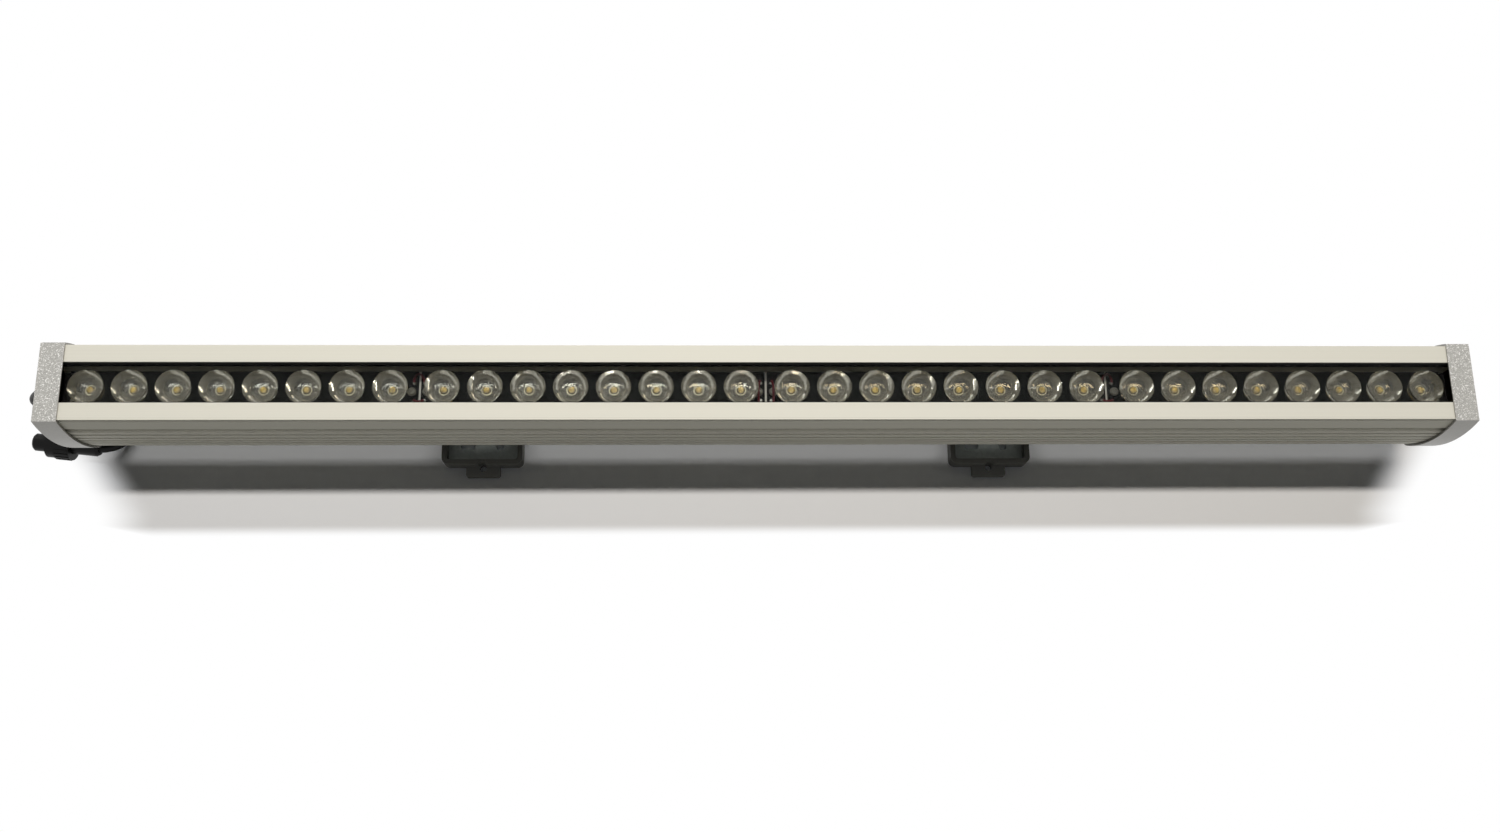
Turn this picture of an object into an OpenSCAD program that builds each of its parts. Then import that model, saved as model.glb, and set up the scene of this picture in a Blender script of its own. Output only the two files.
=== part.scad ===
// Linear wall-washing light: an extruded aluminium body with cast end caps, four LED boards
// with narrow-beam lenses under a glass cover, and two tilting feet that slide in a channel
// along its back. It lies glass up on its feet. X runs along the light, Y across it, Z up,
// and the origin is on the floor below the middle of the light.

/* [Light] */
// Overall length over the end caps
total_len = 1000; // [940:1:1060]
// Height of the front of the end caps above the floor
face_h = 110; // [108:0.5:116]
// Height of the back of the end caps above the floor
back_h = 26.8; // [25:0.1:27.5]
// Half of the end caps' width at the front
cap_face_w = 28.15; // [27.9:0.05:29]
// Half of the end caps' greatest width
cap_max_w = 33.3; // [33:0.05:34.5]
// Depth of the greatest width below the front
widest_depth = 37; // [33:0.5:42]
// Radius of the end caps' back corners
cap_corner_r = 14.5; // [12:0.5:16]
// Length of an end cap along the light
cap_len = 16.5; // [13:0.5:22]
// Thickness of an end cap's end wall
cap_end_t = 5; // [4:0.25:7]
// Thickness of an end cap's rim round the extrusion
cap_rim_t = 1.2; // [0.9:0.05:1.2]
// Thickness of the end gaskets
gasket_t = 1.5; // [1:0.1:2.5]

/* [Extrusion] */
// Thickness of the outer wall
wall_t = 2.2; // [1.8:0.1:2.6]
// Thickness of the front strips
strip_t = 2; // [1.6:0.1:2.4]
// Half of the width of the window between the strips
window_w = 14.6; // [14:0.1:14.8]
// Thickness of the web that carries the boards
web_t = 4; // [3:0.25:5]
// Depth of the web's top below the front
web_depth = 27; // [26.5:0.25:28]
// Thickness of the two walls of the board channel
channel_wall_t = 2; // [1.6:0.1:2.2]
// Depth of the grooves along the sides
groove_depth = 1.1; // [0.8:0.1:1.3]
// Spacing of the narrow side grooves
groove_pitch = 7.5; // [6.5:0.1:7.8]
// Width of a narrow side groove
groove_w = 3; // [2.4:0.1:3.5]
// Width of the wide side groove
wide_groove_w = 6.5; // [5:0.1:7.5]
// Depth of the wide groove's upper edge below the front
wide_groove_depth = 15; // [14:0.25:16]
// Width of the mouth of the channel along the back
slot_mouth_w = 8.4; // [7.5:0.1:9.5]
// Width of the back channel inside
slot_w = 15.2; // [14.5:0.1:16]
// Height of the back channel inside
slot_h = 5.4; // [5.2:0.1:6]
// Radius of the bores that take the end cap screws
port_bore_r = 2; // [1.7:0.05:2.2]
// Outer radius of the screw ports
port_r = 3.7; // [3.4:0.05:4]

/* [Glass and seals] */
// Thickness of the glass cover
glass_t = 3.9; // [3:0.1:4.2]
// Half of the width of the glass cover
glass_half_w = 17.3; // [16.9:0.1:17.5]
// Thickness of the glazing seal's lips
lip_t = 0.8; // [0.6:0.05:0.9]
// How far the seal's lips stand out past the strips
lip_out = 1.1; // [0.6:0.1:1.4]
// Thickness of the dark channel liners
liner_t = 1; // [0.8:0.1:1.2]

/* [LED boards] */
// Gap between neighbouring boards
board_gap = 2; // [1:0.1:3]
// Thickness of a board
board_t = 1.6; // [1:0.1:1.8]
// Distance from a board's end to its first LED
led_end = 16.9; // [15.5:0.1:18]
// Distance from a board's end to its fixing screw
screw_end = 4.25; // [3.9:0.05:4.6]
// Radius of a beam lens at its front
lens_r = 12.3; // [11.8:0.1:12.8]
// Height of a beam lens
lens_h = 15.4; // [14.8:0.1:15.8]
// Radius of a beam lens at the board
lens_foot_r = 6.6; // [6.2:0.1:7.2]
// Radius of the hollow in the back of a lens
lens_hollow_r = 5.1; // [4.8:0.1:5.3]
// Radius of an LED's white ring
led_r = 3.9; // [3.5:0.1:4.1]
// Radius of an LED's dome
dome_r = 2.6; // [2.2:0.1:2.8]
// Diameter of the jumper and feed wires
wire_d = 1.7; // [1.4:0.1:1.9]

/* [Driver] */
// Length of the driver case
driver_len = 210; // [160:1:240]
// Width of the driver case
driver_w = 38; // [32:0.5:42]
// Height of the driver case
driver_h = 22; // [18:0.5:24]
// Place of the driver's middle along the light
driver_x = -190; // [-210:1:-170]

/* [Lead and connector] */
// Diameter of the lead
lead_d = 6.5; // [6:0.1:6.6]
// Height of the gland's middle above the back channel's roof
gland_rise = 7.05; // [7:0.05:9]
// Diameter of the connector's barrel
barrel_d = 13; // [12:0.1:13.4]
// Length of the barrel that stands out of the coupling nut
barrel_len = 11; // [8:0.25:13]
// Diameter of the coupling nut over its ribs
nut_d = 23; // [22:0.1:23]
// Length of the coupling nut
nut_len = 19; // [16:0.5:21]
// Diameter of the connector's tail
tail_d = 12.4; // [11:0.1:12.6]
// Length of the connector's tail
tail_len = 18.7; // [16:0.1:20]

/* [Feet] */
// Place of the left foot's middle along the light
left_foot_x = -210; // [-230:1:-190]
// Place of the right foot's middle along the light
right_foot_x = 173; // [150:1:200]
// Length of a foot along the light
foot_len = 60; // [60:0.5:66]
// Width of a foot across the light
foot_w = 71; // [66:0.5:76]
// Height of a foot's walls
foot_h = 14; // [10:0.5:14]
// Thickness of a foot's walls
foot_wall_t = 3.6; // [3.4:0.1:4]
// Radius of a foot's corners
foot_corner_r = 5; // [3:0.25:7]
// Width of a foot's end lugs
lug_w = 25.5; // [18:0.5:30]
// How far a lug stands out
lug_out = 8; // [6.5:0.25:10]
// Thickness of a lug
lug_t = 4.5; // [3:0.25:6]
// Radius of the fixing hole in a lug
lug_hole_r = 2.5; // [2:0.1:2.8]
// Thickness of the foot's steel plate and its ears
plate_t = 2.5; // [2:0.1:2.8]
// Radius of the round holes in the plate
plate_hole_r = 3; // [2.5:0.1:3.5]
// Length of the slots in the plate
plate_slot_len = 10.6; // [8:0.1:12]
// Width of the slots in the plate
plate_slot_w = 5; // [4.5:0.1:6]
// Distance of the holes and slots from the foot's middle, along the light
plate_hole_x = 12; // [9:0.25:13]
// Distance of the holes and slots from the foot's middle, across the light
plate_hole_y = 20; // [18:0.25:22]

/* [Tilt bracket] */
// Height of the tilt axis above the floor
pivot_z = 15; // [14.5:0.1:15.5]
// Radius of the pivot bolts
pivot_r = 2.5; // [2:0.1:2.8]
// Running clearance of the pivot bolts
pivot_gap = 0.06; // [0.02:0.01:0.1]
// Radius of the ears round the pivot
ear_r = 7.6; // [6.5:0.1:8]
// Thickness of the saddle
saddle_t = 2.5; // [2:0.1:2.8]
// Half of the width of the saddle's top
saddle_half_w = 13; // [10:0.25:13.5]
// Distance between the two saddle screws
saddle_screw_pitch = 20; // [16:0.5:24]
// Length of the sliding nut in the back channel
slide_nut_len = 40; // [32:0.5:60]

/* [Hidden] */
$fn = 48;

// Clearances between pieces that only touch
seat_gap = 0.05;
fit_gap = 0.15;
screw_gap = 0.05;

// Body outline
end_x = total_len / 2;
ext_end_x = end_x - cap_end_t - gasket_t;
ext_len = 2 * ext_end_x;
strip_z = face_h - 1;
ext_back_z = back_h + cap_rim_t + fit_gap;
ext_face_w = cap_face_w - cap_rim_t - fit_gap;
ext_max_w = cap_max_w - cap_rim_t - 0.7;
ext_corner_r = cap_corner_r - cap_rim_t;
widest_z = face_h - widest_depth;
flank_steps = 16;
corner_steps = 8;

// Board channel
web_top = face_h - web_depth;
web_bottom = web_top - web_t;
board_top = web_top + board_t;
glazing_top = strip_z - strip_t;
glazing_bottom = glazing_top - glass_t - 2 * lip_t;
glazing_half_w = glass_half_w + lip_t;
channel_half_w = glazing_half_w - 1.8;
liner_half_w = channel_half_w - fit_gap;
board_half_w = liner_half_w - liner_t - fit_gap;

// Boards
board_count = 4;
leds_per_board = 8;
board_run = ext_len - 10;
board_len = (board_run - (board_count - 1) * board_gap) / board_count;
led_pitch = (board_len - 2 * led_end) / (leds_per_board - 1);
pad_end = 2.7;
pad_y = 6.4;
feed_y = 11.4;
feed_hole_r = wire_d / 2 + 0.6;
board_screw_r = 1.5;
board_head_r = 3.1;
board_head_h = 2.2;

// Back channel
slot_floor_z = ext_back_z + wall_t;
slot_top_z = slot_floor_z + slot_h;

// Screw ports: across and up
flank_radius = flank_r(ext_face_w, ext_max_w, strip_z - widest_z);
corner_z = ext_back_z + ext_corner_r;
corner_y = ext_max_w - flank_radius
    + sqrt(pow(flank_radius - ext_corner_r, 2) - pow(widest_z - corner_z, 2));
port_grip = 0.6;
side_wall_y = glazing_half_w + channel_wall_t;
upper_port_z = face_h - 14;
upper_port = [(side_wall_y + flank_w(upper_port_z) - wall_t) / 2, upper_port_z];
lower_port_in = ext_corner_r - wall_t - port_r + port_grip;
lower_port = [corner_y + lower_port_in * cos(40), corner_z - lower_port_in * sin(40)];
ports = [upper_port, lower_port];
port_screw_r = port_bore_r - screw_gap;
port_screw_len = 16;
port_head_r = 3.9;
port_head_h = 2.3;
floor_cut_y = slot_w / 2 + wall_t + 3;

// Gland
gland_z = slot_top_z + wall_t + gland_rise;
gland_bore_r = 5.6;
gland_r = 5.5;
gland_flange_r = 8.4;
gland_nut_x = 10;
lead_r = lead_d / 2;
lead_hole_r = lead_r + 0.1;

// Lead: points along its middle, from the light's left end, with the height above the floor
lead_route = [
    [-12, 0, gland_z], [-25, 2, 42.5], [-34.5, 8, 35], [-38, 15.5, 24], [-34.5, 23, 13],
    [-25, 29, 6], [-12, 31, 3.5], [2, 31, 3.5], [14.5, 27.5, 3.5], [23.5, 18, 3.5],
    [27.5, 5.5, 3.5], [27, -5, 3.5], [23.5, -13.5, 4.6], [17.5, -19.5, 7.6], [11, -22.3, 10.7]
];
connector_yaw = -6;
connector_z = 23 / 2 + 0.1;
tail_at = [-end_x + 7.5, -22.7, connector_z];
socket_depth = 3.5;
lead_points = concat(
    [[-end_x + 20, 0, gland_z], [-end_x - 2, 0, gland_z]],
    [for (p = lead_route) [p.x - end_x, p.y, p.z]],
    [tail_at, tail_at - [cos(connector_yaw), sin(connector_yaw), 0] * socket_depth]
);
lead_sides = 10;

// Connector, measured back from its tail's end
nut_back = tail_len;
nut_front = tail_len + nut_len;
barrel_tip = nut_front + barrel_len;
nut_collar_len = 6;
nut_ribs = 20;

// Driver
driver_top = web_bottom - seat_gap;
driver_flange = 10;
driver_flange_t = 3;
driver_ends = [driver_x - driver_len / 2, driver_x + driver_len / 2];
driver_screw_r = 1.5;

// Feet and saddles
shoe_ledge_t = 1.5;
shoe_ledge_w = 4.5;
plate_grip = 0.8;
plate_top = shoe_ledge_t + plate_t;
inner_half_len = foot_len / 2 - foot_wall_t;
inner_half_w = foot_w / 2 - foot_wall_t;
ear_out_x = inner_half_len - 0.1;
ear_in_x = ear_out_x - plate_t;
leg_out_x = ear_in_x - 0.1;
leg_in_x = leg_out_x - saddle_t;
pivot_head_h = 3;
pivot_head_r = 4.4;
pivot_nut_h = 4;
pivot_nut_r = 4.6;
pivot_nut_out_x = leg_in_x - 0.1;
saddle_top_z = ext_back_z - seat_gap;
saddle_plate_t = 3.4;
saddle_bottom_z = saddle_top_z - saddle_plate_t;
saddle_screw_r = 2;
saddle_head_r = 3.6;
saddle_head_h = 2.6;
slide_nut_h = slot_h - 0.8;
slide_nut_half_w = slot_w / 2 - 0.3;
lug_hole_y = foot_w / 2 + lug_hole_r - 1;
lug_relief_r = lug_hole_r + 1;

// Points on an arc
function arc(cx, cy, r, a0, a1, n) =
    [for (i = [0:n]) let (a = a0 + (a1 - a0) * i / n) [cx + r * cos(a), cy + r * sin(a)]];

// Radius of the flank that bulges from half width w0 to w1 over a height h
function flank_r(w0, w1, h) = (h * h + (w1 - w0) * (w1 - w0)) / (2 * (w1 - w0));

// Right half of the barrel outline, from the front down to the back
function barrel_half(z0, z1, w0, w1, zm, rc) =
    let (r = flank_r(w0, w1, z0 - zm),
         cx = w1 - r,
         kz = z1 + rc,
         ky = cx + sqrt((r - rc) * (r - rc) - (zm - kz) * (zm - kz)),
         top = atan2(z0 - zm, w0 - cx),
         join = atan2(kz - zm, ky - cx))
    concat(arc(cx, zm, r, top, join, flank_steps),
           arc(ky, kz, rc, join, -90, corner_steps));

function mirrored(points) = [for (i = [len(points) - 1:-1:0]) [-points[i].x, points[i].y]];

// Half width of the extrusion's flank at a height
function flank_w(z) =
    let (r = flank_r(ext_face_w, ext_max_w, strip_z - widest_z))
    sqrt(r * r - (z - widest_z) * (z - widest_z)) - (r - ext_max_w);

// Barrel outline of the end caps, drawn in by an inset
module cap_outline(inset, top_inset) {
    half = barrel_half(face_h - top_inset, back_h + inset, cap_face_w - inset,
                       cap_max_w - inset, widest_z, cap_corner_r - inset);
    polygon(concat(half, mirrored(half)));
}

// Barrel outline of the extrusion, drawn in by an inset
module ext_outline(inset) {
    half = barrel_half(strip_z - inset, ext_back_z + inset, ext_face_w - inset,
                       ext_max_w - inset, widest_z, ext_corner_r - inset);
    polygon(concat(half, mirrored(half)));
}

// A section drawn across the light, run along it from one place to another
module along(x0, x1) {
    translate([x0, 0, 0])
        rotate([90, 0, 90])
            linear_extrude(height = x1 - x0)
                children();
}

// A round bar along the light
module bar_x(x0, x1, y, z, r) {
    translate([x0, y, z])
        rotate([0, 90, 0])
            cylinder(h = x1 - x0, r = r);
}

module rounded_plate(size, r, h) {
    translate([r - size.x / 2, r - size.y / 2, 0])
        for (x = [0, size.x - 2 * r], y = [0, size.y - 2 * r])
            translate([x, y, 0]) cylinder(h = h, r = r);
    translate([r - size.x / 2, -size.y / 2, 0]) cube([size.x - 2 * r, size.y, h]);
    translate([-size.x / 2, r - size.y / 2, 0]) cube([size.x, size.y - 2 * r, h]);
}

// Frames and faces of a tube swept along points
function unit(v) = v / norm(v);
function heading(p, i) = unit(p[min(i + 1, len(p) - 1)] - p[max(i - 1, 0)]);
function carried(u, t) = unit(u - (u * t) * t);
function side_vectors(p, first) = [
    for (i = 0, u = carried(first, heading(p, 0)); i < len(p);
         i = i + 1, u = i < len(p) ? carried(u, heading(p, i)) : u) u
];

module tube(p, r, sides, first) {
    n = len(p);
    u = side_vectors(p, first);
    points = [
        for (i = [0:n - 1]) let (t = heading(p, i), v = cross(t, u[i]))
            for (k = [0:sides - 1]) let (a = 360 * k / sides)
                p[i] + r * (cos(a) * u[i] + sin(a) * v)
    ];
    walls = [
        for (i = [0:n - 2], k = [0:sides - 1]) let (m = (k + 1) % sides)
            for (f = [[i * sides + k, i * sides + m, (i + 1) * sides + m],
                      [i * sides + k, (i + 1) * sides + m, (i + 1) * sides + k]]) f
    ];
    first_end = [for (k = [1:sides - 2]) [0, k + 1, k]];
    last_end = [for (k = [1:sides - 2]) [0, k, k + 1] + [1, 1, 1] * (n - 1) * sides];
    polyhedron(points, concat(first_end, walls, last_end));
}

// Boards and LEDs: places along the light
function board_x(i) = (i - (board_count - 1) / 2) * (board_len + board_gap);
function led_x(i, k) = board_x(i) - board_len / 2 + led_end + k * led_pitch;
board_end_xs = [for (i = [0:board_count - 1], s = [-1, 1]) board_x(i) + s * board_len / 2];
screw_xs = [for (i = [0:board_count - 1], s = [-1, 1])
    board_x(i) + s * (board_len / 2 - screw_end)];
feed_xs = [for (s = [-1, 1]) s * (board_gap / 2 + screw_end)];

// Section of the extrusion's walls
module wall_section() {
    rib_y = flank_w(upper_port_z) - wall_t / 2;
    difference() {
        ext_outline(0);
        // Driver compartment below the web, round the back channel and the lower screw ports
        difference() {
            intersection() {
                ext_outline(wall_t);
                translate([-cap_max_w, 0]) square([2 * cap_max_w, web_bottom]);
            }
            translate([-slot_w / 2 - wall_t, 0])
                square([slot_w + 2 * wall_t, slot_top_z + wall_t]);
            for (s = [-1, 1])
                translate([s * lower_port.x, lower_port.y]) circle(r = port_r);
        }
        // Side hollows beside the board channel, round the upper screw ports and their ribs
        for (s = [-1, 1])
            difference() {
                intersection() {
                    ext_outline(wall_t);
                    translate([s > 0 ? side_wall_y : -cap_max_w, web_top])
                        square([cap_max_w - side_wall_y, glazing_top - web_top]);
                }
                translate([s * upper_port.x, upper_port.y]) circle(r = port_r);
                translate([s > 0 ? 0 : -rib_y, upper_port_z - 1]) square([rib_y, 2]);
            }
        for (p = ports, s = [-1, 1]) translate([s * p.x, p.y]) circle(r = port_bore_r);
        // Back channel and its mouth
        translate([-slot_w / 2, slot_floor_z]) square([slot_w, slot_h]);
        translate([-slot_mouth_w / 2, 0]) square([slot_mouth_w, slot_floor_z + 0.1]);
        // Window, glazing groove and board channel
        translate([-window_w, glazing_top]) square([2 * window_w, 2 * strip_t]);
        translate([-glazing_half_w - seat_gap, glazing_bottom - seat_gap])
            square([2 * (glazing_half_w + seat_gap), glazing_top - glazing_bottom + seat_gap]);
        translate([-channel_half_w, web_top])
            square([2 * channel_half_w, glazing_bottom - web_top]);
        // Grooves along the sides
        for (s = [-1, 1]) {
            side_groove(s, face_h - 3.7, 2.1, 0.5);
            side_groove(s, face_h - wide_groove_depth - wide_groove_w, wide_groove_w, groove_depth);
            for (i = [0:3])
                side_groove(s, face_h - wide_groove_depth - wide_groove_w - 3.5
                            - i * groove_pitch - groove_w, groove_w, groove_depth);
        }
    }
}

// One bar of the body: what the wall section has between two places across and two heights
module body_bar(y0, y1, z0, z1) {
    intersection() {
        wall_section();
        translate([y0, z0]) square([y1 - y0, z1 - z0]);
    }
}

module side_groove(s, z0, h, depth) {
    w = min(flank_w(z0), flank_w(z0 + h)) - depth;
    translate([s > 0 ? w : -w - 4, z0]) square([4, h]);
}

// The one-piece body is kept as plain nodes that meet face to face, so that the channel along
// its back stays open in collision: the housing with its web, the sides below the web, the back
// wall, and the channel's walls and roof
module housing_extrusion() {
    color("#b9b7ac")
        difference() {
            along(-ext_end_x, ext_end_x) body_bar(-cap_max_w, cap_max_w, web_bottom, face_h);
            for (x = screw_xs)
                translate([x, 0, web_bottom - 1])
                    cylinder(h = web_t + 2, r = board_screw_r + screw_gap);
            for (x = feed_xs)
                translate([x, -feed_y, web_bottom - 1])
                    cylinder(h = web_t + 2, r = feed_hole_r);
            for (x = driver_ends, y = [-1, 1])
                translate([x, y * driver_w / 4, web_bottom - 1])
                    cylinder(h = web_t, r = driver_screw_r + screw_gap);
        }
}

module lower_sides() {
    color("#b9b7ac")
        along(-ext_end_x, ext_end_x) {
            body_bar(-cap_max_w, -floor_cut_y, 0, web_bottom);
            body_bar(floor_cut_y, cap_max_w, 0, web_bottom);
        }
}

module back_wall() {
    color("#b9b7ac")
        along(-ext_end_x, ext_end_x) body_bar(-floor_cut_y, floor_cut_y, 0, slot_floor_z);
}

module channel_walls() {
    color("#b9b7ac")
        along(-ext_end_x, ext_end_x)
            body_bar(-floor_cut_y, floor_cut_y, slot_floor_z, slot_top_z);
}

module channel_roof() {
    color("#b9b7ac")
        along(-ext_end_x, ext_end_x)
            body_bar(-floor_cut_y, floor_cut_y, slot_top_z, web_bottom);
}

// Cup over the extrusion's right end
module end_cap() {
    difference() {
        along(end_x - cap_len, end_x) cap_outline(0, 0);
        along(end_x - cap_len - 1, end_x - cap_end_t)
            cap_outline(cap_rim_t, 1 - seat_gap);
        for (p = ports, s = [-1, 1]) {
            bar_x(end_x - cap_end_t - 1, end_x + 1, s * p.x, p.y, port_bore_r + 0.2);
            translate([end_x - port_head_h, s * p.x, p.y])
                rotate([0, 90, 0])
                    cylinder(h = port_head_h + 0.01, r1 = port_bore_r + 0.2, r2 = port_head_r + 0.1);
        }
    }
}

module right_end_cap() {
    color("#a9a9a4") end_cap();
}

module left_end_cap() {
    color("#a9a9a4")
        difference() {
            mirror([1, 0, 0]) end_cap();
            bar_x(-end_x - 1, -end_x + cap_end_t + 1, 0, gland_z, gland_bore_r);
        }
}

module end_gasket() {
    difference() {
        along(ext_end_x + seat_gap, ext_end_x + gasket_t - seat_gap) ext_outline(0);
        for (p = ports, s = [-1, 1])
            bar_x(ext_end_x - 1, ext_end_x + gasket_t + 1, s * p.x, p.y, port_bore_r + 0.2);
        bar_x(ext_end_x - 1, ext_end_x + gasket_t + 1, 0, gland_z, gland_bore_r + 3.4);
    }
}

module right_end_gasket() {
    color("#141412") end_gasket();
}

module left_end_gasket() {
    color("#141412") mirror([1, 0, 0]) end_gasket();
}

module end_cap_screws() {
    color("#8d8d88")
        for (m = [0, 1], p = ports, s = [-1, 1])
            mirror([m, 0, 0])
                difference() {
                    union() {
                        bar_x(end_x - port_screw_len, end_x - port_head_h + 0.01, s * p.x, p.y,
                              port_screw_r);
                        translate([end_x - port_head_h, s * p.x, p.y])
                            rotate([0, 90, 0])
                                cylinder(h = port_head_h - 0.1, r1 = port_screw_r, r2 = port_head_r);
                    }
                    for (a = [0, 90])
                        translate([end_x - 1.4, s * p.x, p.y])
                            rotate([a, 0, 0])
                                translate([0, -0.5, -2.2]) cube([3, 1, 4.4]);
                }
}

module glass_cover() {
    color([0.8, 0.9, 0.9, 0.3])
        along(-ext_end_x, ext_end_x)
            translate([-glass_half_w, glazing_bottom + lip_t])
                square([2 * glass_half_w, glass_t]);
}

module glazing_seals() {
    color("#0c0c0a")
        for (s = [-1, 1])
            along(-ext_end_x, ext_end_x)
                difference() {
                    translate([s > 0 ? window_w - lip_out : -glazing_half_w, glazing_bottom])
                        square([glazing_half_w - window_w + lip_out,
                                glazing_top - glazing_bottom - seat_gap]);
                    translate([-glass_half_w - seat_gap, glazing_bottom + lip_t - seat_gap])
                        square([2 * (glass_half_w + seat_gap), glass_t + 2 * seat_gap]);
                }
}

module channel_liners() {
    color("#2c2b27")
        for (s = [-1, 1])
            along(-ext_end_x, ext_end_x)
                translate([s > 0 ? liner_half_w - liner_t : -liner_half_w, web_top + seat_gap])
                    square([liner_t, glazing_bottom - web_top - 2 * seat_gap]);
}

module led_board(i) {
    color("#101011")
        difference() {
            translate([board_x(i) - board_len / 2, -board_half_w, web_top + seat_gap])
                cube([board_len, 2 * board_half_w, board_t - seat_gap]);
            for (s = [-1, 1])
                translate([board_x(i) + s * (board_len / 2 - screw_end), 0, web_top]) {
                    translate([0, 0, -1]) cylinder(h = board_t + 2, r = board_screw_r + 0.15);
                    translate([0, -feed_y, -1]) cylinder(h = board_t + 2, r = feed_hole_r);
                }
        }
}

module led_board_1() { led_board(0); }
module led_board_2() { led_board(1); }
module led_board_3() { led_board(2); }
module led_board_4() { led_board(3); }

module board_screws() {
    color("#a8a8a2")
        for (x = screw_xs)
            translate([x, 0, 0])
                difference() {
                    union() {
                        translate([0, 0, web_bottom + 0.3])
                            cylinder(h = board_top - web_bottom, r = board_screw_r);
                        translate([0, 0, board_top + seat_gap])
                            cylinder(h = board_head_h * 0.5, r = board_head_r);
                        translate([0, 0, board_top + seat_gap + board_head_h * 0.5])
                            cylinder(h = board_head_h * 0.5, r1 = board_head_r, r2 = board_head_r * 0.68);
                    }
                    for (a = [0, 90])
                        translate([0, 0, board_top + board_head_h - 0.9])
                            rotate([0, 0, a + 45])
                                translate([-1.7, -0.4, 0]) cube([3.4, 0.8, 2]);
                }
}

module led_emitters() {
    color("#d9d6c6")
        for (i = [0:board_count - 1], k = [0:leds_per_board - 1])
            translate([led_x(i, k), 0, board_top + seat_gap]) {
                difference() {
                    cylinder(h = 2, r = led_r);
                    translate([0, 0, 1.2]) cylinder(h = 1, r = dome_r + 0.05);
                }
                translate([-led_r - 3, -0.6, 0]) cube([2 * led_r + 6, 1.2, 0.5]);
            }
}

module led_domes() {
    color("#c8b070")
        for (i = [0:board_count - 1], k = [0:leds_per_board - 1])
            translate([led_x(i, k), 0, board_top + seat_gap + 1.25])
                rotate_extrude()
                    intersection() {
                        circle(r = dome_r);
                        square([dome_r, dome_r]);
                    }
}

// Section of a beam lens: flared outside, hollow round the LED, shallow dish in front
lens_section = concat(
    [[lens_hollow_r, 0], [lens_foot_r, 0]],
    [for (t = [1:6]) [lens_foot_r + (lens_r - lens_foot_r) * pow(t / 7, 0.72),
                      (lens_h - 1.3) * t / 7]],
    [[lens_r, lens_h - 1.3], [lens_r, lens_h], [3.4, lens_h], [2.6, lens_h - 0.7],
     [0, lens_h - 1], [0, lens_h * 0.62], [2, lens_h * 0.6], [4, lens_h * 0.53],
     [lens_hollow_r - 0.3, lens_h * 0.46]]
);

module beam_lenses(i) {
    color([0.85, 0.87, 0.84, 0.5])
        for (k = [0:leds_per_board - 1])
            translate([led_x(i, k), 0, board_top + seat_gap])
                difference() {
                    rotate_extrude() polygon(lens_section);
                    translate([-lens_r, -0.9, -1]) cube([2 * lens_r, 1.8, 1.8]);
                }
}

module beam_lenses_1() { beam_lenses(0); }
module beam_lenses_2() { beam_lenses(1); }
module beam_lenses_3() { beam_lenses(2); }
module beam_lenses_4() { beam_lenses(3); }

// Solder joints at the board ends, two to an end
module solder_pads() {
    color("#d4d4d0")
        for (i = [0:2 * board_count - 1], y = [-1, 1])
            translate([board_end_xs[i] + (i % 2 == 0 ? 1 : -1) * pad_end, y * pad_y,
                       board_top + seat_gap])
                cylinder(h = 0.8, r1 = 1.3, r2 = 0.9);
}

// Bridges over the first and the last board gap: an arch towards the far wall and a flat one
module jumper_wires() {
    z = board_top + 0.95 + wire_d / 2;
    x = board_gap / 2 + pad_end;
    color("#4a1018")
        for (g = [-1, 1])
            translate([g * (board_len + board_gap), 0, 0]) {
                tube([[-x, pad_y, z], [-x + 0.4, pad_y + 2.5, z + 0.8], [-2, pad_y + 4.8, z + 2.2],
                      [0, pad_y + 5.6, z + 2.8], [2, pad_y + 4.8, z + 2.2],
                      [x - 0.4, pad_y + 2.5, z + 0.8], [x, pad_y, z]],
                     wire_d / 2, 8, [1, 0, 0]);
                tube([[-x, -pad_y, z], [-2, -pad_y - 0.9, z + 0.5], [0, -pad_y - 1.2, z + 0.7],
                      [2, -pad_y - 0.9, z + 0.5], [x, -pad_y, z]],
                     wire_d / 2, 8, [0, 0, 1]);
            }
}

// Feed from the driver up through the web at the middle gap, over the screws to the far pads
module feed_wires() {
    z = board_top + board_head_h + wire_d / 2 + 0.3;
    color("#4a1018")
        for (s = [-1, 1]) {
            x = s * (board_gap / 2 + screw_end);
            low = s > 0 ? 3.5 : 0;
            run = x - driver_ends[1];
            tube([[driver_ends[1] + 0.1, s * 4, web_bottom - 8],
                  [driver_ends[1] + run * 0.12, s * 4, web_bottom - 8],
                  [driver_ends[1] + run * 0.36, s * 3 - 6, web_bottom - 6 - low],
                  [x - 13, -feed_y, web_bottom - 6 - low],
                  [x - 5, -feed_y, web_bottom - 5 - low],
                  [x - 1, -feed_y, web_bottom - 2.5 - low], [x, -feed_y, web_bottom],
                  [x, -feed_y, board_top], [x, -feed_y + 0.3, z - 1.2],
                  [x, -feed_y + 2.2, z - 0.1], [x, -5, z], [x, 0, z], [x, 4, z],
                  [x - s * 0.6, 6, z - 0.5], [x - s * 1.2, 7.8, board_top + wire_d / 2 + 1.1]],
                 wire_d / 2, 8, [0, 0, 1]);
        }
}

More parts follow.
